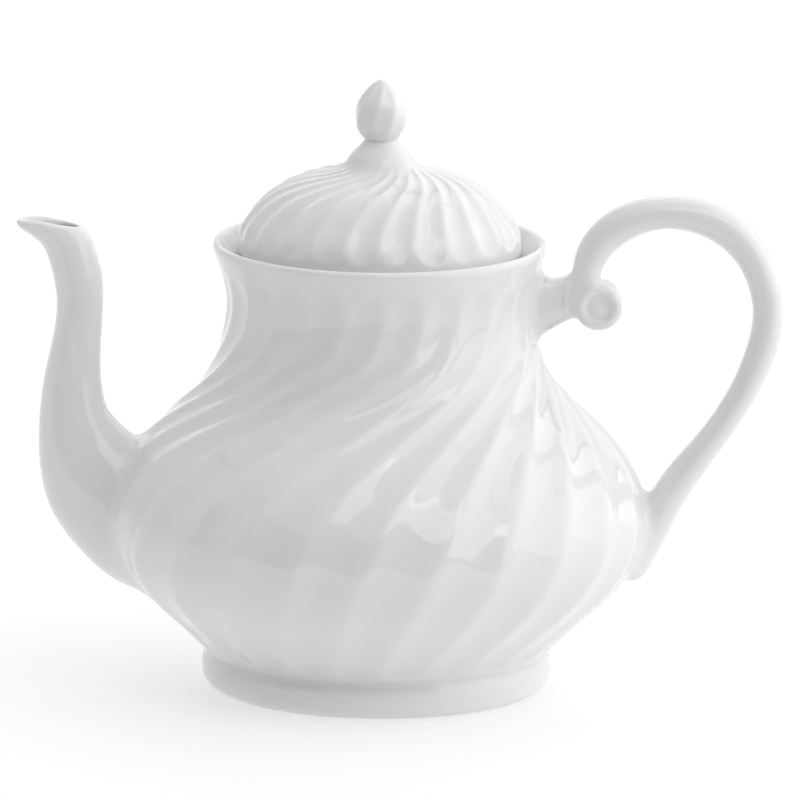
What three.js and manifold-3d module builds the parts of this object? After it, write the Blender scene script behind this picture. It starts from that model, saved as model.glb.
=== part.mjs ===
// Porcelain teapot with swirling flutes. Two loose pieces, pot and lid, each put together
// from clay parts that are formed apart: bowl, foot ring, spout, handle and bracket for the
// pot, and dome, collar and knob for the lid.
// Millimetres, +Z up. The spout points to -X and the handle to +X. The foot stands on Z = 0,
// and the origin is the middle of the whole teapot's length and width.
import * as THREE from "three";
import { mergeVertices } from "three/addons/utils/BufferGeometryUtils.js";
import Module from "manifold-3d";

const wasm = await Module();
wasm.setup();

// ---------------------------------------------------------------- driving dimensions
const jointGap = 0.3;          // left between parts that are luted or rest on each other
const fluteCount = 24;
const fluteDepth = 1.5;        // how far the scooped channels go in behind their ridges
const columnsPerFlute = 3;
const plainColumns = 48;       // in the parts that turn about the axis without flutes

const fluteTop = 134.5;        // the pot's flutes end in arches under a plain rim band
const fluteFoot = 15;
const ledgeHeight = 134.9;     // the ledge in the mouth that carries the lid
const ledgeRadius = 41.3;
const ledgeUnderside = 132.8;
const mouthRadius = 45;        // just above the ledge
const neckTop = 139.6;         // where the bowl's outside turns over into its lip
const floorUnderside = 9;      // the pot's floor sinks into the foot ring
const floorTop = 15;
const footInnerRadius = 46;
const footNeckRadius = 53.9;   // where the foot ring meets the bowl
const footRimRadius = 48;      // inner edge of the flat rim that the pot stands on
const footChamferTop = 4;
const footTop = 13.2;

const collarRadius = 40.3;     // the ring under the lid that keeps it in the mouth
const collarWall = 3;
const collarBottom = 122;
const lidFluteBottom = 142.5;
const lidRimRadius = 43;       // outer edge of the flat rim that rests on the ledge
const lidHollowRadius = 37.4;
const lidHollowTop = 160;
const lidTop = 174.7;          // the narrow neck on top of the dome, where the knob starts
const ventRadius = 1.4;
const ventDistance = 22;       // from the lid's axis, towards the back (+Y)

const spoutWall = 2.4;
const strainerX = -82;         // the middle of the bowl's wall behind the spout
const strainerHoleRadius = 1.9;
const strainerHoleLength = 30;
const strainerPitch = 7.2;
const spoutRootHeight = 54.6;

const handleWidth = 13;        // across the strap, in Y
const scrollRadius = 7.3;
const scrollWidth = 15;
const scrollCentre = new THREE.Vector2(68.5, 122.5);
const bracketWidth = 9.5;

// ---------------------------------------------------------------- outlines, [radius, height]
const bowlOutline = [
  [54.3, 13.2], [64.2, 22.7], [78, 36], [84.8, 52], [79.9, 70], [66, 86.4],
  [53.8, 99.8], [49.0, 113], [47.8, 124], [49.8, 133], [52.5, neckTop],
];
const lipOutline = [[52.5, 141.2], [51.1, 142.3], [49.6, 141.4], [47.3, 138.8], [45.4, 136.6]];
const liningOutline = [
  [43.6, 129.5], [43.4, 121], [45.4, 108], [49.6, 99], [61.6, 84.6], [75, 68.5],
  [80.4, 52.5], [74, 37.5], [60, 24], [44, 16.8],
];
const footOutline = [[54.2, 12], [54.9, 6.8], [54, 3.6], [51.9, 1.2], [49.8, 0]];
const domeOutline = [
  [43.6, 137], [44.3, 141.6], [43.4, 146.6], [39.6, 152.4], [34.3, 157.5], [28, 161.2],
  [21.5, 163.3], [15, 164.6], [11.2, 166], [9.4, 169], [7, 172], [5.1, lidTop],
];
const domeLining = [[37.2, 139], [36, 145], [31.8, 151], [25, 155.4], [16, 158.4], [7, 159.8]];
const knobOutline = [
  [5.1, 175], [5.9, 176.2], [7.6, 178.2], [8.17, 181.6], [7.7, 185], [6, 188.4], [3.8, 191.1],
  [1.6, 193],
];
const knobTip = 193.7;
const knobLobes = 8;
const knobLobeDepth = 0.45;
const knobLobeStart = 26;      // degrees from the front, where a ridge stands at half height
const knobLobeTurn = 2.4;      // degrees for each millimetre up
const knobMiddle = 181;

// The spout's and the handle's side outlines, [x, height]: two edges met point by point.
const spoutFront = [
  [-62, 31.6], [-78, 31.6], [-93.6, 43.4], [-103, 57.4], [-106.4, 78], [-104.6, 99], [-101.3, 121],
  [-102, 134.5], [-107.2, 141.4], [-114, 148.2],
];
const spoutBack = [
  [-62, 77], [-74, 78.4], [-80.6, 82.8], [-84.2, 87], [-86.3, 93.5], [-87.2, 103.5], [-86.5, 121],
  [-87.3, 134.5], [-89.8, 142], [-93.6, 146.8],
];
const spoutHalfWidths = [19.5, 18.5, 16.2, 13.8, 10.8, 8.6, 7.2, 6.6, 6, 5.5];
const handleOuter = [
  [61.4, 123], [60.2, 132], [61.8, 140.4], [67.2, 148.3], [77.1, 154.7], [91, 157], [105.6, 154.7],
  [118.3, 145.1], [125, 131.7], [126.6, 121], [124.8, 108.5], [118.5, 94], [107, 76],
  [96.8, 60.7], [90.3, 48], [84.4, 37.6], [80.6, 33.8],
];
const handleInner = [
  [70.5, 123], [69.3, 131.5], [71.2, 136.7], [75.3, 141.3], [82.6, 145.5], [91, 147], [100.5, 145],
  [109.5, 139], [115, 130], [116.9, 120.5], [115.1, 109.5], [109.9, 96.4], [98.6, 79.6],
  [87.2, 65], [80, 50], [75.5, 40], [77, 36.6],
];
const bracketOutline = [
  [44, 109.6], [49.4, 112.2], [54.2, 115], [59, 117.6], [64, 119], [66, 134], [60.4, 134.4],
  [57, 131.2], [52.4, 130.8], [48.6, 132.6], [44, 135],
];

// ---------------------------------------------------------------- helpers
const vectors = (pairs) => pairs.map(([x, y]) => new THREE.Vector2(x, y));
const smooth = (pairs, steps) => new THREE.SplineCurve(vectors(pairs)).getPoints(steps);
const ease = (from, to, value) => THREE.MathUtils.smoothstep(value, from, to);

// A closed three.js geometry as a manifold solid: seams welded, empty triangles dropped.
function solid(geometry) {
  const bare = geometry.index ? geometry.clone() : mergeVertices(geometry);
  for (const name of Object.keys(bare.attributes)) {
    if (name !== "position") bare.deleteAttribute(name);
  }
  const welded = mergeVertices(bare, 1e-4);
  const corners = welded.index.array;
  const kept = [];
  for (let i = 0; i < corners.length; i += 3) {
    const [a, b, c] = [corners[i], corners[i + 1], corners[i + 2]];
    if (a !== b && b !== c && c !== a) kept.push(a, b, c);
  }
  const mesh = new wasm.Mesh({
    numProp: 3,
    vertProperties: new Float32Array(welded.attributes.position.array),
    triVerts: new Uint32Array(kept),
  });
  return new wasm.Manifold(mesh);
}

function geometryOf(manifold) {
  const mesh = manifold.getMesh();
  const geometry = new THREE.BufferGeometry();
  geometry.setAttribute("position", new THREE.BufferAttribute(mesh.vertProperties, 3));
  geometry.setIndex(new THREE.BufferAttribute(mesh.triVerts, 1));
  geometry.computeVertexNormals();
  return geometry;
}

// Turns a profile of [radius, height] points about the upright axis. Angles run from the
// front, -Y, towards +X.
function revolve(profile, columns) {
  return new THREE.LatheGeometry(profile, columns).rotateX(Math.PI / 2);
}

// Moves every vertex of a revolved geometry: change(angle, radius, height) returns the new
// angle and radius.
function reshape(geometry, change) {
  const position = geometry.attributes.position;
  for (let i = 0; i < position.count; i += 1) {
    const [x, y, height] = [position.getX(i), position.getY(i), position.getZ(i)];
    const [angle, radius] = change(Math.atan2(x, -y), Math.hypot(x, y), height);
    position.setXY(i, Math.max(0, radius) * Math.sin(angle), -Math.max(0, radius) * Math.cos(angle));
  }
  return geometry;
}

// 0 on a ridge, 1 in the middle of a scooped channel.
function scoop(angle, count) {
  const share = THREE.MathUtils.euclideanModulo((angle * count) / (2 * Math.PI), 1);
  return 4 * share * (1 - share);
}

// A bar whose sections are ellipses stretched between two edges in the XZ plane. The grow
// length fattens it all round, and overshoot pushes both of its ends out.
function loft({ front, back, halfWidths, columns, rows, grow = 0, overshoot = 0 }) {
  const frontCurve = new THREE.SplineCurve(vectors(front));
  const backCurve = new THREE.SplineCurve(vectors(back));
  const widths = new THREE.SplineCurve(halfWidths.map((width, i) => new THREE.Vector2(i, width)));
  const bar = new THREE.CylinderGeometry(1, 1, 1, columns, rows);
  const position = bar.attributes.position;
  for (let i = 0; i < position.count; i += 1) {
    const along = 0.5 - position.getY(i);
    const [nearEdge, farEdge] = [frontCurve.getPoint(along), backCurve.getPoint(along)];
    const middle = nearEdge.clone().add(farEdge).divideScalar(2);
    const half = farEdge.clone().sub(nearEdge).divideScalar(2);
    const across = half.clone().normalize();
    half.addScaledVector(across, grow).multiplyScalar(position.getX(i));
    const end = along < 1e-6 ? -overshoot : along > 1 - 1e-6 ? overshoot : 0;
    const outward = new THREE.Vector2(-across.y, across.x).multiplyScalar(end);
    const point = middle.add(half).add(outward);
    const width = widths.getPoint(along).y + grow;
    position.setXYZ(i, point.x, width * position.getZ(i), point.y);
  }
  return solid(bar);
}

// ---------------------------------------------------------------- the pot
// The flutes hang straight on the neck, sweep round over the shoulder and settle into a
// slow slant on the belly.
function potTwist(height) {
  const shoulderTurn = 25 * (1 - Math.tanh((height - 97.8) / 16.7));
  const bellyTurn = 0.2675 * Math.max(0, 114.2 - height);
  return THREE.MathUtils.degToRad(3.6 - shoulderTurn - bellyTurn);
}

const bowlSkin = smooth(bowlOutline, 20);

// The fluted outside, filled up to the ledge in the mouth.
function bowlBlock() {
  const sunkFloorRadius = footInnerRadius - jointGap;
  const profile = [
    ...vectors([[0, floorUnderside], [sunkFloorRadius, floorUnderside], [sunkFloorRadius, footTop]]),
    ...bowlSkin,
    ...vectors([...lipOutline, [mouthRadius, ledgeHeight], [0, ledgeHeight]]),
  ];
  const geometry = revolve(profile, fluteCount * columnsPerFlute);
  return solid(reshape(geometry, (angle, radius, height) => {
    const turned = angle + potTwist(THREE.MathUtils.clamp(height, footTop, fluteTop));
    const strength = ease(fluteFoot - 2, fluteFoot + 3, height)
      * (1 - ease(fluteTop - 3, fluteTop + 1, height));
    return [turned, radius - fluteDepth * strength * scoop(angle, fluteCount)];
  }));
}

function teaChamber() {
  const above = ledgeHeight + 3;
  const mouth = vectors([[0, above], [ledgeRadius, above], [ledgeRadius, ledgeUnderside]]);
  const profile = [...mouth, ...smooth(liningOutline, 10), new THREE.Vector2(0, floorTop)];
  return solid(revolve(profile.reverse(), plainColumns));
}

function bowl() {
  return bowlBlock().subtract(teaChamber()).subtract(strainerHoles());
}

// The pot's outside without flutes, one gap larger: what spout and handle are fitted to.
function bowlEnvelope() {
  const grown = bowlSkin.map((point) => new THREE.Vector2(point.x + jointGap, point.y));
  const profile = [new THREE.Vector2(0, footTop), ...grown, new THREE.Vector2(0, neckTop)];
  return solid(revolve(profile, fluteCount * columnsPerFlute));
}

// Three rows of holes through the wall behind the spout keep the tea leaves back.
function strainerHoles() {
  const [radius, length] = [strainerHoleRadius, strainerHoleLength];
  const pin = new THREE.CylinderGeometry(radius, radius, length, 8);
  pin.rotateZ(Math.PI / 2);
  const holes = [];
  for (const [row, count] of [[-1, 3], [0, 4], [1, 3]]) {
    for (let i = 0; i < count; i += 1) {
      const y = (i - (count - 1) / 2) * strainerPitch;
      const z = spoutRootHeight + row * strainerPitch;
      holes.push(solid(pin.clone().translate(strainerX, y, z)));
    }
  }
  return wasm.Manifold.union(holes);
}

function footRing() {
  const outside = smooth(footOutline, 6);
  const top = footTop - jointGap;
  const inside = vectors([
    [footNeckRadius, top], [footInnerRadius, top], [footInnerRadius, footChamferTop],
    [footRimRadius, 0],
  ]);
  return solid(revolve([...inside, ...outside.reverse(), inside[0]], plainColumns));
}

function spout() {
  const shape = { front: spoutFront, back: spoutBack, halfWidths: spoutHalfWidths, columns: 20 };
  const outside = loft({ ...shape, rows: 22 });
  const bore = loft({ ...shape, rows: 14, grow: -spoutWall, overshoot: 2 });
  return outside.subtract(bore).subtract(bowlEnvelope());
}

// ---------------------------------------------------------------- the handle
function strap(grow) {
  const halfWidths = handleOuter.map((_, i) => {
    const toTail = handleOuter.length - 1 - i;
    return (handleWidth / 2) * (toTail === 0 ? 0.6 : toTail === 1 ? 0.95 : 1);
  });
  return loft({ front: handleOuter, back: handleInner, halfWidths, columns: 12, rows: 40, grow });
}

// The strap's rolled end: a short roll across the handle with a dished face and a button on
// each side.
function scroll(grow) {
  const half = scrollWidth / 2;
  const side = [
    [0, half - 0.4], [2, half - 0.4], [2.8, half - 1.4], [5, half - 1.2], [6.2, half],
    [scrollRadius, half - 1.2],
  ];
  const profile = [
    ...side.map(([radius, across]) => [radius, -across - grow]),
    ...side.reverse().map(([radius, across]) => [radius, across + grow]),
  ].map(([radius, across]) => new THREE.Vector2(radius > 0 ? radius + grow : 0, across));
  const roll = new THREE.LatheGeometry(profile, 20);
  return solid(roll.translate(scrollCentre.x, 0, scrollCentre.y));
}

function handle() {
  return strap(0).add(scroll(0)).subtract(bowlEnvelope());
}

function bracket() {
  const shape = new THREE.Shape(vectors(bracketOutline));
  const block = new THREE.ExtrudeGeometry(shape, {
    depth: bracketWidth - 2,
    bevelThickness: 1,
    bevelSize: 0.8,
    bevelOffset: -0.8,
    bevelSegments: 1,
  });
  block.translate(0, 0, 1 - bracketWidth / 2).rotateX(Math.PI / 2);
  return solid(block).subtract(bowlEnvelope()).subtract(strap(jointGap)).subtract(scroll(jointGap));
}

// ---------------------------------------------------------------- the lid
// The lid's flutes stand upright round its edge and swirl in towards the knob.
function lidTwist(radius) {
  const inward = Math.max(0, (44 - radius) / 33);
  return THREE.MathUtils.degToRad(46 * inward ** 1.8);
}

const domeBottom = ledgeHeight + jointGap;

// The fluted outside of the lid, filled down to the flat rim that rests on the ledge.
function domeBlock() {
  const profile = [
    ...vectors([[0, domeBottom], [lidRimRadius, domeBottom]]),
    ...smooth(domeOutline, 17),
    new THREE.Vector2(0, lidTop),
  ];
  const geometry = revolve(profile, fluteCount * columnsPerFlute);
  return solid(reshape(geometry, (angle, radius, height) => {
    const strength = ease(lidFluteBottom - 1.5, lidFluteBottom + 2.5, height) * ease(9, 18, radius);
    const depth = fluteDepth * strength * scoop(angle, fluteCount);
    return [angle + lidTwist(radius), radius - depth];
  }));
}

function lidHollow() {
  const below = domeBottom - 2;
  const profile = [
    ...vectors([[0, below], [lidHollowRadius, below]]),
    ...smooth(domeLining, 7),
    new THREE.Vector2(0, lidHollowTop),
  ];
  return solid(revolve(profile, plainColumns));
}

function dome() {
  return domeBlock().subtract(lidHollow()).subtract(vent());
}

function vent() {
  const drill = new THREE.CylinderGeometry(ventRadius, ventRadius, 20, 10);
  return solid(drill.rotateX(Math.PI / 2).translate(0, ventDistance, lidHollowTop));
}

function collar() {
  const [outer, inner] = [collarRadius, collarRadius - collarWall];
  const top = domeBottom - jointGap;
  const profile = [
    [inner, top], [inner, collarBottom + 0.8], [inner + 0.9, collarBottom],
    [outer - 1.1, collarBottom], [outer - 0.3, collarBottom + 0.9], [outer, top - 4],
    [outer, top], [inner, top],
  ];
  return solid(revolve(vectors(profile), plainColumns));
}

// A bud with a few soft lobes that turn about it.
function knob() {
  const skin = smooth(knobOutline, 12);
  const profile = [
    new THREE.Vector2(0, knobOutline[0][1]), ...skin, new THREE.Vector2(0, knobTip),
  ];
  const geometry = revolve(profile, knobLobes * 3);
  return solid(reshape(geometry, (angle, radius, height) => {
    const strength = ease(176, 179, height) * (1 - ease(190, 193, height));
    const depth = knobLobeDepth * strength * scoop(angle, knobLobes);
    const turn = THREE.MathUtils.degToRad(knobLobeStart + knobLobeTurn * (height - knobMiddle));
    return [angle + turn, radius - depth];
  }));
}

// ---------------------------------------------------------------- the scene
function glaze(roughness) {
  return new THREE.MeshStandardMaterial({ color: "#ecebe8", roughness, metalness: 0 });
}

function piece(name, manifold, roughness = 0.12) {
  const mesh = new THREE.Mesh(geometryOf(manifold), glaze(roughness));
  mesh.name = name;
  return mesh;
}

const pot = new THREE.Group();
pot.add(
  piece("pot_body", bowl()),
  piece("foot_ring", footRing(), 0.35),
  piece("spout", spout()),
  piece("handle", handle()),
  piece("handle_bracket", bracket()),
);

const lid = new THREE.Group();
lid.add(piece("lid_dome", dome()), piece("lid_collar", collar(), 0.3), piece("lid_knob", knob()));

const teapot = new THREE.Group();
teapot.add(pot, lid);
const extent = new THREE.Box3().setFromObject(teapot, true);
teapot.position.x = -(extent.min.x + extent.max.x) / 2;
teapot.position.y = -(extent.min.y + extent.max.y) / 2;
teapot.updateMatrixWorld(true);

export default teapot;
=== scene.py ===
"""Looks of a white porcelain teapot with swirling flutes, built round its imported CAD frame.

Every clay part is rebuilt as a fine surface from the same outlines as its CAD node. Bowl, foot,
lid, collar and knob are turned from an outline; spout, strap and bracket are clay bodies meshed
from distance fields, with a soft fillet where parts are luted together.
Shapes are in millimetres about the pot's own axis, heights from the table; meshes are in metres.
"""
import math

import bmesh
import bpy
import numpy as np
from mathutils import Matrix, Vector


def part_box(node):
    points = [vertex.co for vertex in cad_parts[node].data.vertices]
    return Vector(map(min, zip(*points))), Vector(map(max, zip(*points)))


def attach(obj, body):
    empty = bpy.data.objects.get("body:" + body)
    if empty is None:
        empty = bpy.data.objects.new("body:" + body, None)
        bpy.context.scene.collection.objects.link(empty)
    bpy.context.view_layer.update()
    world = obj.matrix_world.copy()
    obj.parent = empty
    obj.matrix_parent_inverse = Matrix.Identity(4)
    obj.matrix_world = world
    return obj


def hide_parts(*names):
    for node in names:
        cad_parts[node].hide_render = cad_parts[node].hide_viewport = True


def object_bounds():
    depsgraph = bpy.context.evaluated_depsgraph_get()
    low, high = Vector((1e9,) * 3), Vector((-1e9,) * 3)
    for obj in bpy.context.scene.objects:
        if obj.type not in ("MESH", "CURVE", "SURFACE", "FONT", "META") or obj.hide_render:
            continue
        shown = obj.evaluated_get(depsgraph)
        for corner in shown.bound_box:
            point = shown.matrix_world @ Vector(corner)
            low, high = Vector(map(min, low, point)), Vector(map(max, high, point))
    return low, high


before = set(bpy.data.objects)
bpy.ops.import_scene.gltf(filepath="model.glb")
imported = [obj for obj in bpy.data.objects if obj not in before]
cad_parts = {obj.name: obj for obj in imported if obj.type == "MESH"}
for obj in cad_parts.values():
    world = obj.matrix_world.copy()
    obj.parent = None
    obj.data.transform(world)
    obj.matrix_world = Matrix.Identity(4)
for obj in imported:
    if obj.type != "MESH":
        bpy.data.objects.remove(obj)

CAD_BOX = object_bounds()
MM = 0.001
FOOT_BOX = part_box("foot_ring")
AXIS_X = (FOOT_BOX[0].x + FOOT_BOX[1].x) / 2      # the pot's axis in the row frame

# ------------------------------------------------------------------ outlines, (radius, height)
FLUTES = 24
COLUMNS_PER_FLUTE = 16
PLAIN_COLUMNS = 192
RIDGE_SOFTNESS = 0.5           # how far glaze rounds the ridges between scoops
ARCH_SOFTNESS = 0.1            # and the round ends of the scoops
POT_FLUTE_DEPTH = 1.15
FLUTE_FOOT = 13                # below this height the flutes no longer turn
SKIN_TOP = 141                 # above this height the rim turns in
LID_FLUTE_DEPTH = 0.92

BOWL_UNDERSIDE = [(0, 9), (20, 9), (40, 9), (50, 9.2), (53.2, 10)]
BOWL_OUTSIDE = [
    (54.1, 11.4), (54.25, 12.8), (55.5, 14.5), (64.2, 22.7), (78, 36), (84.8, 52), (79.9, 70),
    (66, 86.4), (53.8, 99.8), (49, 113), (47.8, 124), (49.7, 133), (51.9, 139.2), (52.2, 140.6),
    (51.8, 141.8), (50.9, 142.3),
]
MOUTH = [
    (50, 141.9), (49, 140.8), (47.4, 138.9), (46, 137.3), (45.1, 136), (44.4, 135.1),
    (43.4, 134.9), (42, 134.9), (41.4, 134.5), (41.3, 133.4), (42, 131.8), (43.2, 129.4),
]
LINING = [
    (43.5, 121), (45.4, 108), (49.6, 99), (61.6, 84.6), (75, 68.5), (80.4, 52.5), (74, 37.5),
    (60, 24), (44, 16.8), (22, 15.2), (0, 15),
]
POT_TWIST = {                  # how the flutes turn with height, in degrees
    "start": 3.6, "shoulder": 25, "shoulder_middle": 97.8, "shoulder_reach": 16.7,
    "belly": 0.2675, "belly_top": 114.2,
}
NECK_ARCH_TOP = 134.6          # where the scoops' round heads end, under a plain band
NECK_ARCH_LENGTH = 6.5
FOOT_SCALLOP = 13.4
FOOT_SCALLOP_LENGTH = 2.2

FOOT = [
    (42.4, 8.97), (44.4, 8.6), (45.4, 7.6), (45.9, 6), (46.5, 3), (47.3, 0.9), (48.1, 0.1),
    (48.6, 0.016), (49.4, 0.016), (50, 0.12), (51.6, 0.9), (53.2, 2.3), (54.3, 4.3), (54.75, 6.8),
    (54.6, 9.5), (54.2, 12), (54.1, 12.8), (53, 12.9), (48, 12), (44, 10.4), (42.4, 8.97),
]
BARE_RIM_HEIGHT = 0.35         # the foot is wiped free of glaze below this

LID_INSIDE = [(0, 160), (7, 159.8), (16, 158.4), (25, 155.4), (31.8, 151), (36, 145), (37.2, 139)]
LID_RIM = [(37.5, 136), (38.2, 135.25), (40, 135.2), (42.2, 135.2), (43.1, 135.6)]
LID_OUTSIDE = [
    (43.6, 137), (44.2, 139.2), (44.3, 141.6), (43.4, 146.6), (39.6, 152.4), (34.3, 157.5),
    (28, 161.2), (21.5, 163.5), (16.2, 164.9), (13, 166), (10.9, 167.6), (9.3, 169.9),
    (7.2, 172.1), (5.9, 173.4), (5.15, 174.7), (4.9, 175.6),
]
LID_CROWN = [(4, 176.4), (0, 176.6)]
LID_TWIST = {"rim": 44, "reach": 33, "degrees": 46, "power": 1.8}
LID_FADE = (9, 17)             # radii between which the flutes fade out under the knob
LID_ARCH_BOTTOM = 142.6
LID_ARCH_LENGTH = 4.8
COLLAR = [
    (37.3, 134.9), (37.3, 128), (37.4, 122.9), (37.9, 122.2), (38.7, 122), (39.4, 122.2),
    (39.9, 122.9), (40.1, 128), (40.3, 133.6), (40.3, 134.9), (38.8, 134.92), (37.3, 134.9),
]
KNOB = [
    (0, 174.4), (3.4, 174.45), (4.9, 174.8), (5.7, 175.6), (6.8, 177), (7.7, 178.6),
    (8.13, 180.5), (8.17, 182), (7.85, 184.4), (7, 186.8), (5.7, 189), (4.1, 191), (2.4, 192.6),
    (1, 193.45), (0, 193.7),
]
KNOB_LOBES = 8
KNOB_LOBE_DEPTH = 0.42
KNOB_LOBE_RISE = (175.8, 179)  # heights between which the lobes deepen, and fade again
KNOB_LOBE_FALL = (189.5, 193.2)
KNOB_WIDEST = 181
KNOB_LOBE_START = 26           # degrees, where one ridge stands at the bud's widest height
KNOB_TURN = 2.4                # degrees the ridges turn for each millimetre up

# Side outlines, rows of (front x, front height, back x, back height, half width in Y).
SPOUT = [
    (-62, 31.6, -62, 77, 19.5), (-78, 31.6, -74, 78.4, 18.5), (-93.6, 43.4, -80.6, 82.8, 16.2),
    (-103, 57.4, -84.2, 87, 13.8), (-106.4, 78, -86.3, 93.5, 10.8),
    (-104.6, 99, -87.1, 103.5, 8.6), (-101, 121, -86.4, 121, 7.2),
    (-103.2, 134.5, -87.3, 133.5, 6.8), (-106.3, 140.8, -89.4, 140.2, 6.4),
    (-110.7, 144.2, -91.2, 144, 6.2), (-113.6, 146.6, -92.8, 146.2, 6),
    (-113.9, 150, -93.4, 149.6, 5.9),
]
LIP = [                        # side view of the middle of the spout's round rim
    (-120, 146.8), (-112.6, 147), (-109.8, 147.2), (-104.7, 146.9), (-100, 146.1), (-94.3, 145),
    (-86, 143),
]
STRAP = [
    (61.4, 123, 71.5, 124.5, 6.4), (60.3, 132, 69.4, 131.5, 6.4), (61.9, 140.4, 71.2, 136.7, 6.4),
    (67.2, 148.3, 75.3, 141.3, 6.3), (77.1, 154.7, 82.6, 145.5, 6.3), (91, 157, 91, 147, 6.3),
    (105.6, 154.7, 100.5, 145, 6.3), (118.3, 145.1, 109.5, 139, 6.3), (125, 131.7, 115, 130, 6.3),
    (126.6, 120.5, 116.9, 120.5, 6.3), (124.8, 108.5, 115.1, 109.5, 6.3),
    (118.5, 94, 109.9, 96.4, 6.3), (107, 76, 98.6, 79.6, 6.4), (96.8, 60.7, 87.2, 65, 6.6),
    (90.3, 48, 80, 50, 6.8), (84.6, 37.4, 74.4, 41.5, 6.8), (81.6, 32.6, 71.4, 37.5, 6.8),
]
STRAP_TAIL = 5.5               # length of the strap's rounded lower end
BRACKET = [
    (46, 135, 46, 110.4, 5.2), (50.6, 131.9, 50.6, 112.9, 4.9), (55, 130.8, 55, 115.4, 4.6),
    (59, 131.8, 59, 117.6, 4.8), (63, 134, 63.4, 119, 5),
]
SCROLL_CENTRE = (68.6, 122.6)
SCROLL_RADIUS = 7.5
SCROLL_HALF_WIDTH = 6.6
SCROLL_ROUNDING = 3.0
DISH_RADIUS = 5.0              # the hollow in each face of the scroll, with a button in it
DISH_DEPTH = 0.9
DISH_EDGE = 1.4                # width of the slope round the hollow
DISH_ROUNDING = 1.0
DISH_BANK = 1.2                # how steeply the cut for the hollow opens outside it
BUTTON_RADIUS = 1.5
BUTTON_HEIGHT = 0.3
SPLIT_X = 57.6                 # where the bracket ends and the strap begins
SPLIT_FEATHER = 0.05           # beyond the split each dips under the other's surface
SPLIT_OVERLAP = 2.5

SPOUT_WALL = 2.3
SPOON_TIP_X = -104             # from here to the tip the lip is a shallow spoon
SPOON_END_X = -98.5            # and from here back the bore is open
SPOON_HEIGHTS = (132, 143)     # the bore narrows towards the spoon between these
SPOON_DEPTH = 1.0
SPOON_SLOPE = 0.1
SPOON_REACH = 6                # how far towards the tip the spoon still gets shallower
SPOON_THICKNESS = 4.0
SPOON_ROUNDING = 1.2
BORE_ROUNDING = 1.5
STRAINER_RADIUS = 1.9
STRAINER_PITCH = 7.2
STRAINER_HEIGHT = 54.6
STRAINER_X = -82
STRAINER_LENGTH = 30
VENT_RADIUS = 1.3
VENT_DISTANCE = 22
VENT_HEIGHT = 160
VENT_LENGTH = 24
UNDER_SKIN = 1.2               # how far luted parts go in under the bowl's skin
LUTE_SPOUT = 4.5               # sizes of the fillets where parts are luted together
LUTE_STRAP = 5.0
LUTE_BRACKET = 2.0
LUTE_SCROLL = 1.5
FEATHER = 0.5                  # how fast a fillet's thin edge dives under the bowl's skin
FEATHER_START = 0.5            # as a share of the fillet's size
LUTE_REACH = 1.3               # a fillet ends this many times its size from its part

# Boxes round the clay bodies (lowest corner, highest corner) and the size of their grid cells.
SPOUT_CELLS = ((-118, -26, 22), (-64, 26, 151), 0.6)
STRAP_CELLS = ((56, -14, 25), (129, 14, 160), 0.55)
BRACKET_CELLS = ((42, -14, 102), (66, 14, 144), 0.5)


# ------------------------------------------------------------------ curves and surfaces
def spline(points, step=0.8, least=6):
    """Samples of a natural cubic curve through the points, and the index of each one's span."""
    points = np.asarray(points, float)
    chord = np.linalg.norm(np.diff(points, axis=0), axis=1)
    n = len(points)
    system = np.eye(n)
    right = np.zeros_like(points)
    for i in range(1, n - 1):
        system[i, i - 1:i + 2] = chord[i - 1], 2 * (chord[i - 1] + chord[i]), chord[i]
        slopes = (points[i + 1] - points[i]) / chord[i] - (points[i] - points[i - 1]) / chord[i - 1]
        right[i] = 6 * slopes
    bend = np.linalg.solve(system, right)
    samples, spans = [], []
    for i in range(n - 1):
        count = int(max(least, math.ceil(chord[i] / step)))
        b = np.arange(count)[:, None] / count
        a = 1 - b
        lift = ((a ** 3 - a) * bend[i] + (b ** 3 - b) * bend[i + 1]) * chord[i] ** 2 / 6
        samples.append(a * points[i] + b * points[i + 1] + lift)
        spans += [i] * count
    return np.vstack(samples + [points[-1:]]), np.array(spans + [n - 2])


def smoothstep(low, high, value):
    t = np.clip((value - low) / (high - low), 0, 1)
    return t * t * (3 - 2 * t)


def outline_normals(outline):
    along = np.gradient(outline, axis=0)
    along /= np.linalg.norm(along, axis=1, keepdims=True) + 1e-12
    return np.stack([along[:, 1], -along[:, 0]], axis=1)


def flute_shares(count, per_flute):
    """How far across its flute each column stands, 0 to 1, closer together at the ridges."""
    even = np.arange(per_flute) / per_flute
    return np.tile((1 - np.cos(math.pi * even)) / 2, count)


def scoop(share, beyond, softness=RIDGE_SOFTNESS):
    """Depth of a scooped channel, 0 on its rounded ridges and 1 in its middle. Beyond is how far
    past its straight part a point is, as a share of the channel's round end."""
    across = 1 - (2 * share - 1) ** 2
    crown = (np.sqrt(across ** 2 + softness ** 2) - softness) / (math.hypot(1, softness) - softness)
    left = crown - beyond ** 2
    return (left + np.sqrt(left ** 2 + ARCH_SOFTNESS ** 2)) / 2 - ARCH_SOFTNESS / 2


def turned(radius, angle, height):
    """Grid of points from radii, angles and heights. Angles run from -Y towards +X."""
    return np.stack([radius * np.sin(angle), -radius * np.cos(angle), height], axis=-1)


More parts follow.
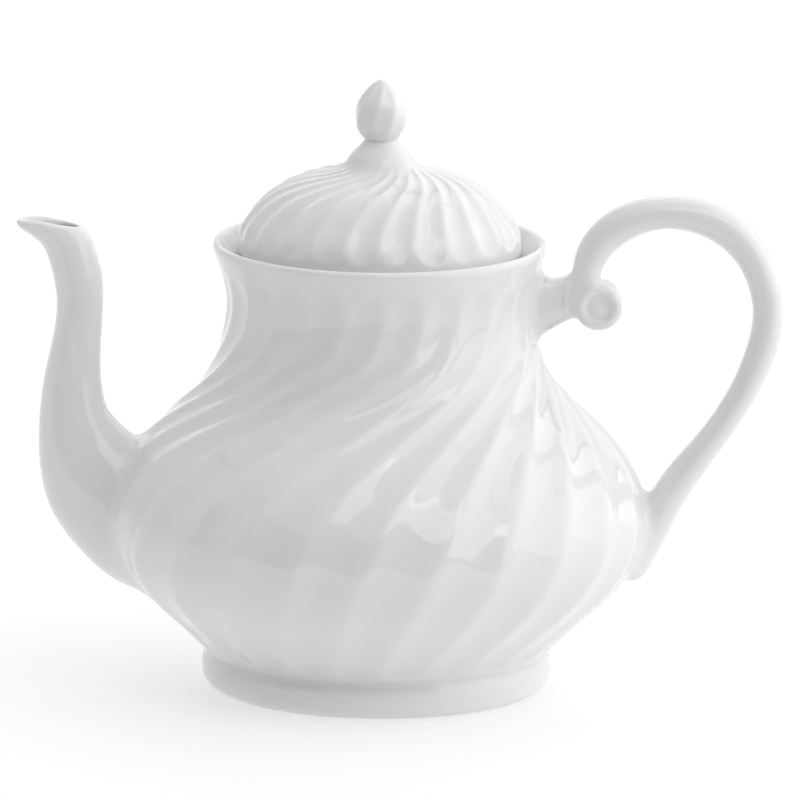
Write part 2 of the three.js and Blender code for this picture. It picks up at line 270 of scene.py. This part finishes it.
def mesh_from(name, vertices, faces, attribute=None):
    """A smooth mesh object from points in millimetres about the pot's axis."""
    placed = (vertices + [AXIS_X / MM, 0, 0]) * MM
    mesh = bpy.data.meshes.new(name)
    mesh.from_pydata(placed.tolist(), [], faces)
    mesh.polygons.foreach_set("use_smooth", np.ones(len(mesh.polygons), bool))
    if attribute is not None:
        values = np.zeros(len(vertices), np.float32)
        values[:attribute.size] = attribute.ravel()[:len(vertices)]
        mesh.attributes.new("glaze_depth", "FLOAT", "POINT").data.foreach_set("value", values)
    mesh.update()
    piece = bpy.data.objects.new(name, mesh)
    bpy.context.scene.collection.objects.link(piece)
    merge_doubles(piece)
    return piece


def mesh_object(name, grid, attribute=None):
    """A closed mesh through a grid [row, column, xyz]; columns wrap, and each end row is shut by
    one point in its middle unless the rows come back to where they started."""
    rows, columns = grid.shape[:2]
    looped = np.allclose(grid[0], grid[-1], atol=1e-6)
    row, column = np.meshgrid(np.arange(rows - 1), np.arange(columns), indexing="ij")
    next_row = (row + 1) % (rows - 1) if looped else row + 1
    next_column = (column + 1) % columns
    faces = np.stack([row * columns + column, row * columns + next_column,
                      next_row * columns + next_column, next_row * columns + column], -1)
    faces = faces.reshape(-1, 4).tolist()
    vertices = grid.reshape(-1, 3)
    if looped:
        vertices = vertices[:-columns]
    else:
        first, final, top = len(vertices), len(vertices) + 1, (rows - 1) * columns
        vertices = np.vstack([vertices, grid[0].mean(axis=0), grid[-1].mean(axis=0)])
        faces += [[first, (c + 1) % columns, c] for c in range(columns)]
        faces += [[final, top + c, top + (c + 1) % columns] for c in range(columns)]
    return mesh_from(name, vertices, faces, attribute)


def merge_doubles(piece):
    """Welds rows that have shrunk to one point on the axis."""
    work = bmesh.new()
    work.from_mesh(piece.data)
    bmesh.ops.remove_doubles(work, verts=work.verts, dist=2e-6)
    bmesh.ops.dissolve_degenerate(work, edges=work.edges, dist=1e-7)
    bmesh.ops.recalc_face_normals(work, faces=work.faces)
    work.to_mesh(piece.data)
    work.free()


# ------------------------------------------------------------------ clay shapes as distance fields
EVENING = 0.6                  # how far a point moves towards the middle of its neighbours


class Bar:
    """A bar whose sections are ovals stretched between two edges in the XZ plane."""

    def __init__(self, rows, step=1.0, power=2.0, tail=0.0, grow=0.0):
        curve, _ = spline(rows, step=0.2)
        walked = np.linalg.norm(np.diff(curve[:, 0:2] + curve[:, 2:4], axis=0), axis=1) / 2
        travel = np.concatenate([[0], np.cumsum(walked)])
        even = np.linspace(0, travel[-1], int(travel[-1] / step) + 1)
        curve = np.stack([np.interp(even, travel, column) for column in curve.T], axis=-1)
        half = (curve[:, 2:4] - curve[:, 0:2]) / 2
        length = np.linalg.norm(half, axis=1, keepdims=True)
        rounding = np.ones(len(even))
        if tail:
            past = np.clip(1 - (travel[-1] - even) / tail, 0, 0.999)
            rounding = np.sqrt(1 - past ** 2)
        self.power = power
        self.middle = (curve[:, 0:2] + curve[:, 2:4]) / 2
        self.drift = np.gradient(self.middle, axis=0)
        self.across = half / length
        self.along = self.across[:, ::-1] * [-1, 1]
        self.along *= np.sign((self.along * self.drift).sum(axis=1))[:, None]
        self.radii = (np.stack([length[:, 0], curve[:, 4]], axis=-1) + grow) * rounding[:, None]

    def middle_at(self, low, share):
        straight = self.middle[low] * (1 - share) + self.middle[low + 1] * share
        return straight + (self.drift[low] - self.drift[low + 1]) * share * (1 - share) / 2

    def section(self, flat):
        """The section through each point, as a place among the samples, and how far past the
        bar's ends the point is."""
        skip = 4                                   # the first guess is among every fourth sample
        middle, along = self.middle[::skip], self.along[::skip]
        off = flat @ along.T - (middle * along).sum(axis=1)
        far = (middle ** 2).sum(axis=1) - 2 * flat @ middle.T
        last = len(self.middle) - 1.001
        place = np.minimum((off ** 2 + 0.05 * far).argmin(axis=1) * float(skip), last)
        for _ in range(3):
            low = place.astype(int)
            share = (place - low)[:, None]
            offset = flat - self.middle_at(low, share)
            turn = self.along[low + 1] - self.along[low]
            along = self.along[low] + turn * share
            ahead = (offset * along).sum(axis=1)
            pace = (self.drift[low] * along - offset * turn).sum(axis=1)
            place = np.clip(place + np.clip(ahead / np.maximum(pace, 0.3), -3, 3), 0, last)
        at_end = ((place <= 0) & (ahead < 0)) | ((place >= last) & (ahead > 0))
        return place, np.where(at_end, np.abs(ahead), 0)

    def gap(self, points):
        """Distance of points from the bar's surface, below zero inside it."""
        flat = points[:, [0, 2]]
        place, past = self.section(flat)
        low = place.astype(int)
        share = (place - low)[:, None]
        across = self.across[low] * (1 - share) + self.across[low + 1] * share
        radii = self.radii[low] * (1 - share) + self.radii[low + 1] * share
        a, b = np.maximum(radii, 0.3).T
        in_plane = ((flat - self.middle_at(low, share)) * across).sum(axis=1)
        u, v, p = np.abs(in_plane) / a, np.abs(points[:, 1]) / b, self.power
        q = np.maximum((u ** p + v ** p) ** (1 / p), 1e-6)
        slope = q ** (1 - p) * np.hypot(u ** (p - 1) / a, v ** (p - 1) / b)
        gap = (q - 1) / np.maximum(slope, 0.5 / np.maximum(a, b))
        return np.where(past > 0, np.hypot(np.maximum(gap, 0), past), gap)


def blend(first, second, size):
    """Union of two distance fields with a fillet between them."""
    near = np.maximum(size - np.abs(first - second), 0)
    return np.minimum(first, second) - near ** 2 / (4 * size)


def carve(first, second, size):
    """What both fields hold, with its edges rounded."""
    return -blend(-first, -second, size)


def clay(name, field, low, high, cell):
    """A closed mesh on the zero level of a distance field: one vertex in every grid cell that the
    level crosses, evened out and drawn onto the level."""
    low = np.asarray(low, float)
    counts = np.ceil((np.asarray(high) - low) / (cell * 4)).astype(int) * 4
    axes = [low[i] + cell * np.arange(counts[i] + 1) for i in range(3)]
    coarse = np.stack(np.meshgrid(*[axis[2::4] for axis in axes], indexing="ij"), -1)
    near = np.abs(field(coarse.reshape(-1, 3)).reshape(coarse.shape[:3])) < cell * 5
    fine_near = near.repeat(4, 0).repeat(4, 1).repeat(4, 2)
    values = np.full([count + 1 for count in counts], np.inf)
    mask = np.zeros(values.shape, bool)
    for corner in np.ndindex(2, 2, 2):
        window = tuple(slice(c, c + n) for c, n in zip(corner, fine_near.shape))
        mask[window] |= fine_near
    where = np.argwhere(mask)
    values[mask] = field(low + cell * where)
    inside = values < 0
    corners = [inside[tuple(slice(c, c + n) for c, n in zip(corner, counts))]
               for corner in np.ndindex(2, 2, 2)]
    total = sum(corner.astype(int) for corner in corners)
    crossed = (total > 0) & (total < 8)
    number = np.full(counts, -1)
    number[crossed] = np.arange(crossed.sum())
    points = low + cell * (np.argwhere(crossed) + 0.5)
    faces = net_faces(inside, number)
    for _ in range(4):
        points = drawn_onto(field, evened(points, faces), cell, 1)
    return mesh_from(name, drawn_onto(field, points, cell, 2), faces.tolist())


def net_faces(inside, number):
    """One quad round every grid edge whose two ends lie on different sides of the level."""
    faces = []
    for axis in range(3):
        one, two = [i for i in range(3) if i != axis]
        first = np.moveaxis(inside, (axis, one, two), (0, 1, 2))
        cells = np.moveaxis(number, (axis, one, two), (0, 1, 2))
        change = first[:-1, 1:-1, 1:-1] != first[1:, 1:-1, 1:-1]
        i, j, k = np.nonzero(change)
        quad = np.stack([cells[i, j, k], cells[i, j + 1, k], cells[i, j + 1, k + 1],
                         cells[i, j, k + 1]], axis=1)
        leaving = first[i, j + 1, k + 1] ^ (axis == 1)
        quad[~leaving] = quad[~leaving][:, ::-1]
        faces.append(quad)
    return np.vstack(faces)


def evened(points, faces):
    """Moves every point towards the middle of its neighbours."""
    total, count = np.zeros_like(points), np.zeros(len(points))
    for here, there in ((0, 1), (1, 2), (2, 3), (3, 0)):
        np.add.at(total, faces[:, here], points[faces[:, there]])
        np.add.at(total, faces[:, there], points[faces[:, here]])
        count += np.bincount(faces[:, here], minlength=len(points))
        count += np.bincount(faces[:, there], minlength=len(points))
    return (1 - EVENING) * points + EVENING * total / count[:, None]


def drawn_onto(field, points, cell, rounds):
    """Moves points down a field's slope onto its zero level."""
    reach = 0.03               # the step that measures the slope
    for _ in range(rounds):
        value = field(points)
        slope = np.stack([field(points + step) - value for step in np.eye(3) * reach], -1) / reach
        move = slope * (value / np.maximum((slope ** 2).sum(axis=1), 0.1))[:, None]
        length = np.linalg.norm(move, axis=1, keepdims=True)
        points = points - move * np.minimum(1, cell / np.maximum(length, 1e-9))
    return points


# ------------------------------------------------------------------ the pot
def pot_twist(height):
    """How far round the flutes have turned at a height, in radians."""
    past = (height - POT_TWIST["shoulder_middle"]) / POT_TWIST["shoulder_reach"]
    shoulder = POT_TWIST["shoulder"] * (1 - np.tanh(past))
    belly = POT_TWIST["belly"] * np.maximum(0, POT_TWIST["belly_top"] - height)
    return np.radians(POT_TWIST["start"] - shoulder - belly)


def pot_scoop(share, height):
    above = np.maximum(0, height - (NECK_ARCH_TOP - NECK_ARCH_LENGTH)) / NECK_ARCH_LENGTH
    below = np.maximum(0, FOOT_SCALLOP + FOOT_SCALLOP_LENGTH - height) / FOOT_SCALLOP_LENGTH
    return scoop(share, above + below)


def pot_flute_depth(radius):
    """Wide flutes on the belly are scooped deeper than the narrow ones on the neck."""
    return POT_FLUTE_DEPTH * (0.6 + 0.4 * (radius - 48) / 36)


OUTSIDE_CURVE, OUTSIDE_SPANS = spline(BOWL_OUTSIDE)


def bowl_gap(points):
    """Distance of points from the fluted outside of the bowl, below zero inside it. A flute is
    cut along the outline's normal, so its depth is looked up where that normal starts."""
    radius = np.hypot(points[:, 0], points[:, 1])
    height = np.clip(points[:, 2], FLUTE_FOOT, SKIN_TOP)
    angle = np.arctan2(points[:, 0], -points[:, 1])
    skin = np.interp(height, OUTSIDE_CURVE[:, 1], OUTSIDE_CURVE[:, 0])
    slope = 2 * (np.interp(height + 0.5, OUTSIDE_CURVE[:, 1], OUTSIDE_CURVE[:, 0]) - skin)
    level = 1 / np.hypot(1, slope)
    depth = 0
    for _ in range(3):
        foot = height - slope * level * depth
        share = ((angle - pot_twist(foot)) * FLUTES / (2 * math.pi)) % 1
        depth = pot_flute_depth(skin) * pot_scoop(share, foot)
    return (radius - skin) * level + depth


def build_bowl():
    points = BOWL_UNDERSIDE + BOWL_OUTSIDE + MOUTH + LINING
    outline, spans = spline(points)
    normals = outline_normals(outline)
    crest = len(BOWL_UNDERSIDE) + len(BOWL_OUTSIDE) - 1
    outside = (spans >= len(BOWL_UNDERSIDE)) & (spans < crest)
    share = flute_shares(FLUTES, COLUMNS_PER_FLUTE)[None, :]
    flute = np.repeat(np.arange(FLUTES), COLUMNS_PER_FLUTE)[None, :]
    radius, height = outline[:, 0:1], outline[:, 1:2]
    hollow = pot_scoop(share, height) * outside[:, None]
    depth = pot_flute_depth(radius) * hollow
    held = np.where(spans[:, None] >= crest, NECK_ARCH_TOP, np.maximum(height, FLUTE_FOOT))
    angle = (flute + share) * 2 * math.pi / FLUTES + pot_twist(held)
    grid = turned(radius - normals[:, 0:1] * depth, angle, height - normals[:, 1:2] * depth)
    piece = mesh_object("pot_bowl", grid, np.broadcast_to(hollow, grid.shape[:2]).copy())
    cut(piece, strainer_pins())
    return piece


def pin(name, radius, length, centre, turn):
    bpy.ops.mesh.primitive_cylinder_add(vertices=32, radius=radius * MM, depth=length * MM)
    tool = bpy.context.object
    tool.name = name
    tool.location = (centre[0] * MM + AXIS_X, centre[1] * MM, centre[2] * MM)
    tool.rotation_euler = turn
    return tool


def strainer_pins():
    """Three rows of holes through the wall behind the spout."""
    pins = []
    for row, count in ((-1, 3), (0, 4), (1, 3)):
        for i in range(count):
            y = (i - (count - 1) / 2) * STRAINER_PITCH
            centre = (STRAINER_X, y, STRAINER_HEIGHT + row * STRAINER_PITCH)
            pins.append(pin("strainer_pin", STRAINER_RADIUS, STRAINER_LENGTH, centre,
                            (0, math.pi / 2, 0)))
    return pins


def cut(piece, tools):
    """Cuts the tools' shapes out of a piece and clears the tools away."""
    for tool in tools:
        change = piece.modifiers.new("cut", "BOOLEAN")
        change.operation = "DIFFERENCE"
        change.solver = "MANIFOLD"
        change.object = tool
    apply_modifiers(piece)
    for tool in tools:
        bpy.data.objects.remove(tool)


def apply_modifiers(piece):
    bpy.context.view_layer.update()
    evaluated = piece.evaluated_get(bpy.context.evaluated_depsgraph_get())
    mesh = bpy.data.meshes.new_from_object(evaluated)
    mesh.materials.clear()
    mesh.polygons.foreach_set("material_index", np.zeros(len(mesh.polygons), np.int32))
    piece.modifiers.clear()
    piece.data = mesh


def plain_ring(name, points):
    """A ring without flutes, turned from its closed outline."""
    outline, _ = spline(points)
    angle = np.arange(PLAIN_COLUMNS) * 2 * math.pi / PLAIN_COLUMNS
    grid = turned(outline[:, 0:1], angle[None, :], outline[:, 1:2] + 0 * angle[None, :])
    return mesh_object(name, grid)


def luted(body, skin, size):
    """A body with a fillet down to the bowl's skin, whose thin edge dives under the skin."""
    sunk = FEATHER * np.maximum(body / size - FEATHER_START, 0) ** 2
    joined = np.maximum(blend(body, skin, size) + sunk, body - LUTE_REACH * size)
    return np.maximum(joined, -skin - UNDER_SKIN)


SPOUT_BAR = Bar(SPOUT, grow=-SPOUT_WALL / 2)
LIP_CURVE, _ = spline(LIP)


def spout_bore(points, wall, over_lip):
    """The hollow inside the spout, which rises to a shallow spoon towards the tip."""
    inside = wall + SPOUT_WALL / 2
    past_tip = np.maximum(points[:, 0] - SPOON_TIP_X, -SPOON_REACH)
    spoon = carve(inside, -over_lip - (SPOON_DEPTH + SPOON_SLOPE * past_tip), SPOON_ROUNDING)
    thickening = SPOON_THICKNESS * smoothstep(SPOON_END_X, SPOON_TIP_X, points[:, 0])
    thickening *= smoothstep(*SPOON_HEIGHTS, points[:, 2])
    return blend(spoon, inside + thickening, BORE_ROUNDING)


def spout_field(points):
    """The spout's wall, with a round rim along its lip and a fillet down to the bowl."""
    over_lip = points[:, 2] - np.interp(points[:, 0], LIP_CURVE[:, 0], LIP_CURVE[:, 1])
    wall = SPOUT_BAR.gap(points)
    rim = np.hypot(wall, np.maximum(over_lip, 0))
    body = np.where(over_lip > 0, rim, wall) - SPOUT_WALL / 2
    body = luted(body, bowl_gap(points), LUTE_SPOUT)
    return np.maximum(body, -spout_bore(points, wall, over_lip))


def build_spout():
    return clay("pot_spout", spout_field, *SPOUT_CELLS)


STRAP_BAR = Bar(STRAP, power=2.2, tail=STRAP_TAIL)
BRACKET_BAR = Bar(BRACKET, power=2.6)


def scroll_distance(points):
    return np.hypot(points[:, 0] - SCROLL_CENTRE[0], points[:, 2] - SCROLL_CENTRE[1])


def scroll_gap(points):
    """The rolled end of the handle, a short drum with rounded edges."""
    edge = scroll_distance(points) - SCROLL_RADIUS
    return carve(edge, np.abs(points[:, 1]) - SCROLL_HALF_WIDTH, SCROLL_ROUNDING)


def scroll_face(points):
    """How far points stand proud of the dished faces of the scroll, with a button in each."""
    radius = scroll_distance(points)
    dish = DISH_DEPTH * (1 - smoothstep(DISH_RADIUS - DISH_EDGE, DISH_RADIUS, radius))
    button = BUTTON_HEIGHT * np.exp(-(radius / BUTTON_RADIUS) ** 2)
    bank = DISH_BANK * np.maximum(radius - DISH_RADIUS, 0)
    return (np.abs(points[:, 1]) - (SCROLL_HALF_WIDTH - dish + button + bank)) * 0.8


def handle_field(points):
    """Strap, scroll and bracket as one clay body, filleted into the bowl's skin."""
    strap = blend(STRAP_BAR.gap(points), scroll_gap(points), LUTE_SCROLL)
    strap = carve(strap, scroll_face(points), DISH_ROUNDING)
    body = blend(strap, BRACKET_BAR.gap(points), LUTE_BRACKET)
    return luted(body, bowl_gap(points), LUTE_STRAP)


def one_side(points, beyond):
    """The handle up to the split, and a little beyond it under the other part's surface."""
    beyond = np.maximum(beyond, 0)
    feathered = handle_field(points) + SPLIT_FEATHER * beyond ** 2
    return np.maximum(feathered, beyond - SPLIT_OVERLAP)


def strap_field(points):
    return one_side(points, SPLIT_X - points[:, 0])


def bracket_field(points):
    return one_side(points, points[:, 0] - SPLIT_X)


def build_strap():
    return clay("handle_strap", strap_field, *STRAP_CELLS)


def build_bracket():
    return clay("handle_bracket_web", bracket_field, *BRACKET_CELLS)


# ------------------------------------------------------------------ the lid
def build_lid():
    points = LID_INSIDE + LID_RIM + LID_OUTSIDE + LID_CROWN
    outline, spans = spline(points)
    normals = outline_normals(outline)
    first = len(LID_INSIDE) + len(LID_RIM)
    outside = (spans >= first) & (spans < first + len(LID_OUTSIDE) - 1)
    share = flute_shares(FLUTES, COLUMNS_PER_FLUTE)[None, :]
    flute = np.repeat(np.arange(FLUTES), COLUMNS_PER_FLUTE)[None, :]
    radius, height = outline[:, 0:1], outline[:, 1:2]
    below = np.maximum(0, LID_ARCH_BOTTOM + LID_ARCH_LENGTH - height) / LID_ARCH_LENGTH
    fade = np.clip(radius / 40, 0, 1) * smoothstep(*LID_FADE, radius)
    hollow = scoop(share, below) * fade * outside[:, None]
    depth = LID_FLUTE_DEPTH * hollow
    inward = np.maximum(0, (LID_TWIST["rim"] - radius) / LID_TWIST["reach"]) * outside[:, None]
    turn = np.radians(LID_TWIST["degrees"] * inward ** LID_TWIST["power"])
    angle = (flute + share) * 2 * math.pi / FLUTES + turn
    grid = turned(radius - normals[:, 0:1] * depth, angle, height - normals[:, 1:2] * depth)
    piece = mesh_object("lid_shell", grid, np.broadcast_to(hollow, grid.shape[:2]).copy())
    centre = (0, VENT_DISTANCE, VENT_HEIGHT)
    cut(piece, [pin("vent_pin", VENT_RADIUS, VENT_LENGTH, centre, (0, 0, 0))])
    return piece


def build_knob():
    outline, _ = spline(KNOB, step=0.4)
    share = flute_shares(KNOB_LOBES, COLUMNS_PER_FLUTE)[None, :]
    lobe = np.repeat(np.arange(KNOB_LOBES), COLUMNS_PER_FLUTE)[None, :]
    radius, height = np.maximum(outline[:, 0:1], 0), outline[:, 1:2]
    strength = smoothstep(*KNOB_LOBE_RISE, height) * (1 - smoothstep(*KNOB_LOBE_FALL, height))
    depth = KNOB_LOBE_DEPTH * strength * scoop(share, 0, softness=1)
    turn = np.radians(KNOB_LOBE_START + KNOB_TURN * (height - KNOB_WIDEST))
    angle = (lobe + share) * 2 * math.pi / KNOB_LOBES + turn
    return mesh_object("lid_bud", turned(radius - depth, angle, height + 0 * share))


# ------------------------------------------------------------------ materials
GLAZE = (0.775, 0.773, 0.768, 1)
GLAZE_POOLED = (0.755, 0.757, 0.757, 1)
GLAZE_CLOUDED = (0.785, 0.782, 0.774, 1)
GLAZE_ROUGHNESS = (0.03, 0.05)
GLAZE_WAVE = 0.00005           # metres
GLAZE_GRAIN = 0.000004
BARE_CLAY = (0.80, 0.785, 0.755, 1)
BARE_CLAY_STAINED = (0.73, 0.71, 0.675, 1)
BARE_ROUGHNESS = (0.55, 0.75)
BARE_GRAIN = 0.00006


class Nodes:
    """Short hand for a node tree."""

    def __init__(self, tree):
        self.tree = tree

    def add(self, kind, inputs=(), **settings):
        node = self.tree.nodes.new(kind)
        for key, value in settings.items():
            setattr(node, key, value)
        for key, value in dict(inputs).items():
            if isinstance(value, bpy.types.NodeSocket):
                self.tree.links.new(value, node.inputs[key])
            else:
                node.inputs[key].default_value = value
        return node

    def noise(self, position, scale, detail=2.0):
        return self.add("ShaderNodeTexNoise", {"Vector": position, "Scale": scale,
                                               "Detail": detail}).outputs["Fac"]

    def mix(self, share, first, second):
        node = self.add("ShaderNodeMix", data_type="RGBA")
        for socket, value in zip((node.inputs[0], node.inputs[6], node.inputs[7]),
                                 (share, first, second)):
            if isinstance(value, bpy.types.NodeSocket):
                self.tree.links.new(value, socket)
            else:
                socket.default_value = value
        return node.outputs[2]

    def fit(self, value, low, high, to_low, to_high):
        return self.add("ShaderNodeMapRange", {"Value": value, "From Min": low, "From Max": high,
                                               "To Min": to_low, "To Max": to_high}).outputs[0]

    def soft_step(self, value, low, high):
        return self.add("ShaderNodeMapRange", {"Value": value, "From Min": low, "From Max": high},
                        interpolation_type="SMOOTHSTEP").outputs[0]

    def maths(self, operation, first, second):
        return self.add("ShaderNodeMath", {0: first, 1: second}, operation=operation).outputs[0]

    def show(self, shader, kind="ShaderNodeOutputMaterial"):
        self.tree.links.new(shader.outputs[0], self.add(kind).inputs[0])


def new_material(name):
    material = bpy.data.materials.new(name)
    material.use_nodes = True
    material.node_tree.nodes.clear()
    return material, Nodes(material.node_tree)


def glazed_porcelain():
    """White porcelain under clear glaze: the glaze pools a little cooler in the hollows, thins
    over the ridges, and its surface is very slightly uneven."""
    material, n = new_material("glazed_porcelain")
    position = n.add("ShaderNodeNewGeometry").outputs["Position"]
    pooled = n.add("ShaderNodeAttribute", attribute_name="glaze_depth").outputs["Fac"]
    clouds = n.noise(position, 28.0, 3.0)
    fine = n.noise(position, 420.0, 2.0)
    waves = n.noise(position, 95.0, 1.0)
    body = n.mix(pooled, GLAZE, GLAZE_POOLED)
    body = n.mix(n.fit(clouds, 0.3, 0.7, 0.0, 0.35), body, GLAZE_CLOUDED)
    roughness = n.fit(fine, 0.3, 0.7, *GLAZE_ROUGHNESS)
    wave_height = n.maths("MULTIPLY", waves, GLAZE_WAVE)
    height = n.maths("ADD", wave_height, n.maths("MULTIPLY", fine, GLAZE_GRAIN))
    bump = n.add("ShaderNodeBump", {"Height": height, "Strength": 0.35, "Distance": 1.0})
    shader = n.add("ShaderNodeBsdfPrincipled", {
        "Base Color": body, "Roughness": roughness, "IOR": 1.5, "Normal": bump.outputs[0],
        "Subsurface Weight": 0.18, "Subsurface Scale": 0.0022,
        "Subsurface Radius": (1.0, 0.9, 0.78),
    })
    n.show(shader)
    return material


def bare_porcelain():
    """Fired clay without glaze, on the foot's rim and the lid's collar: matt and fine-grained."""
    material, n = new_material("bare_porcelain")
    position = n.add("ShaderNodeNewGeometry").outputs["Position"]
    grain = n.noise(position, 2600.0, 3.0)
    stain = n.noise(position, 90.0, 3.0)
    body = n.mix(n.fit(stain, 0.35, 0.7, 0.0, 1.0), BARE_CLAY, BARE_CLAY_STAINED)
    height = n.maths("MULTIPLY", grain, BARE_GRAIN)
    bump = n.add("ShaderNodeBump", {"Height": height, "Distance": 1.0})
    shader = n.add("ShaderNodeBsdfPrincipled", {
        "Base Color": body, "Roughness": n.fit(grain, 0.3, 0.7, *BARE_ROUGHNESS),
        "Normal": bump.outputs[0],
    })
    n.show(shader)
    return material


# ------------------------------------------------------------------ the stage
PHOTO_WIDTH = 250.64 * MM      # width of the picture at the pot's axis
CAMERA_ELEVATION = math.radians(11.7)
CAMERA_ROLL = math.radians(0.5)
CAMERA_DISTANCE = 9.0
LOOK_AT = (AXIS_X + 6.74 * MM, 0.0, 91.44 * MM)
SENSOR = 36.0


def add_camera():
    data = bpy.data.cameras.new("camera")
    data.sensor_width = SENSOR
    data.lens = SENSOR * CAMERA_DISTANCE / PHOTO_WIDTH
    data.clip_end = 30
    camera = bpy.data.objects.new("camera", data)
    bpy.context.scene.collection.objects.link(camera)
    back = CAMERA_DISTANCE * math.cos(CAMERA_ELEVATION)
    camera.location = (LOOK_AT[0], -back, LOOK_AT[2] + CAMERA_DISTANCE * math.sin(CAMERA_ELEVATION))
    tilt = Matrix.Rotation(math.pi / 2 - CAMERA_ELEVATION, 3, "X")
    camera.rotation_euler = (tilt @ Matrix.Rotation(CAMERA_ROLL, 3, "Z")).to_euler()
    bpy.context.scene.camera = camera


# Soft light panels far round the pot, by compass direction (0 right, 90 behind, 180 left) and
# height above the horizon in degrees, with their brightness and the softness of their edges.
PANELS = [  # (direction, half width, low, high, brightness, edge)
    (0.5, 49, -5, 46, 1.66, 0.6),
    (88.5, 37.5, -5, 43.5, 0.8, 0.6),
    (85, 32, 14, 40, 0.5, 8),
    (164, 36.5, -5, 45.5, 0.7, 0.6),
    (20, 72, 47, 62, 1.47, 0.6),
    (146, 54, 47, 62, 0.98, 0.6),
    (292, 24, 34, 62, 2.0, 1),
    (234, 34, 34, 62, 0.76, 1),
    (0, 180, 60, 95, 0.85, 3),
]
DARK_SIDE = 0.02
FLOOR_GLOW = 0.5              # lifts the table's white, as on an overexposed sweep
FLOOR_RADIUS = 7
FLOOR_TINTS = ((0.47, 0.47, 0.47, 1), (0.48, 0.48, 0.478, 1))
TABLE_FRONT = 0.37             # beyond this the pot's glaze mirrors a dark room, not the table
DARK_CARD = (8, 3)             # metres


def add_dark_front():
    """A dark card over the floor in front, seen only by mirror reflections in the glaze."""
    bpy.ops.mesh.primitive_plane_add(size=1)
    card = bpy.context.object
    card.name = "dark_card"
    card.scale = (*DARK_CARD, 1)
    card.location = (0, -TABLE_FRONT - DARK_CARD[1] / 2, 0.001)
    card.visible_camera = False
    card.visible_diffuse = False
    card.visible_shadow = False
    material, n = new_material("dark_card")
    shader = n.add("ShaderNodeEmission", {"Color": (DARK_SIDE, DARK_SIDE, DARK_SIDE, 1)})
    n.show(shader)
    card.data.materials.append(material)


def add_world():
    world = bpy.data.worlds.new("studio")
    bpy.context.scene.world = world
    world.use_nodes = True
    world.node_tree.nodes.clear()
    n = Nodes(world.node_tree)
    direction = n.add("ShaderNodeTexCoord").outputs["Generated"]
    parts = n.add("ShaderNodeSeparateXYZ", {0: direction}).outputs
    compass = n.maths("ARCTAN2", parts["Y"], parts["X"])
    height = n.maths("ARCSINE", parts["Z"], 0.0)
    total = DARK_SIDE
    for centre, half_width, low, high, brightness, edge in PANELS:
        away = n.maths("SUBTRACT", compass, math.radians(centre))
        wrapped = n.add("ShaderNodeMath", {0: away, 1: math.pi, 2: -math.pi}, operation="WRAP")
        across = n.maths("ABSOLUTE", wrapped.outputs[0], 0.0)
        soft = math.radians(edge)
        width = math.radians(half_width)
        inside = n.soft_step(across, width + soft / 2, width - soft / 2)
        above = n.soft_step(height, math.radians(low) - soft / 2, math.radians(low) + soft / 2)
        under = n.soft_step(height, math.radians(high) + soft / 2, math.radians(high) - soft / 2)
        shape = n.maths("MULTIPLY", n.maths("MULTIPLY", inside, above), under)
        total = n.maths("ADD", n.maths("MULTIPLY", shape, brightness), total)
    background = n.add("ShaderNodeBackground", {"Color": (1, 1, 1, 1), "Strength": total})
    n.show(background, "ShaderNodeOutputWorld")


def add_floor():
    bpy.ops.mesh.primitive_circle_add(vertices=96, radius=FLOOR_RADIUS, fill_type="NGON")
    floor = bpy.context.object
    floor.name = "floor"
    floor.location.z = CAD_BOX[0][2]
    material, n = new_material("pale_floor")
    position = n.add("ShaderNodeNewGeometry").outputs["Position"]
    tint = n.mix(n.noise(position, 3.0), *FLOOR_TINTS)
    shader = n.add("ShaderNodeBsdfPrincipled", {
        "Base Color": tint, "Roughness": 0.6, "Specular IOR Level": 0.2,
        "Emission Color": (1, 1, 1, 1), "Emission Strength": FLOOR_GLOW,
    })
    n.show(shader)
    floor.data.materials.append(material)


# ------------------------------------------------------------------ put together
def finish_piece(piece, body, node, slot, *materials):
    for material in materials:
        piece.data.materials.append(material)
    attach(piece, body)
    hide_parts(node)


def bare_below(piece, height):
    """Gives the piece's second material to the faces below a height."""
    for face in piece.data.polygons:
        if face.center.z < height:
            face.material_index = 1


glaze, bare = glazed_porcelain(), bare_porcelain()
finish_piece(build_bowl(), "pot", "pot_body", "glaze", glaze)
foot = plain_ring("pot_foot", FOOT)
finish_piece(foot, "pot", "foot_ring", "glaze", glaze, bare)
bare_below(foot, BARE_RIM_HEIGHT * MM)
finish_piece(build_spout(), "pot", "spout", "glaze", glaze)
finish_piece(build_strap(), "pot", "handle", "glaze", glaze)
finish_piece(build_bracket(), "pot", "handle_bracket", "glaze", glaze)
finish_piece(build_lid(), "lid", "lid_dome", "glaze", glaze)
finish_piece(plain_ring("lid_collar_ring", COLLAR), "lid_collar", "lid_collar", "bisque", bare)
finish_piece(build_knob(), "lid", "lid_knob", "glaze", glaze)

add_camera()
add_world()
add_floor()
add_dark_front()
bpy.context.scene.view_settings.view_transform = "Standard"
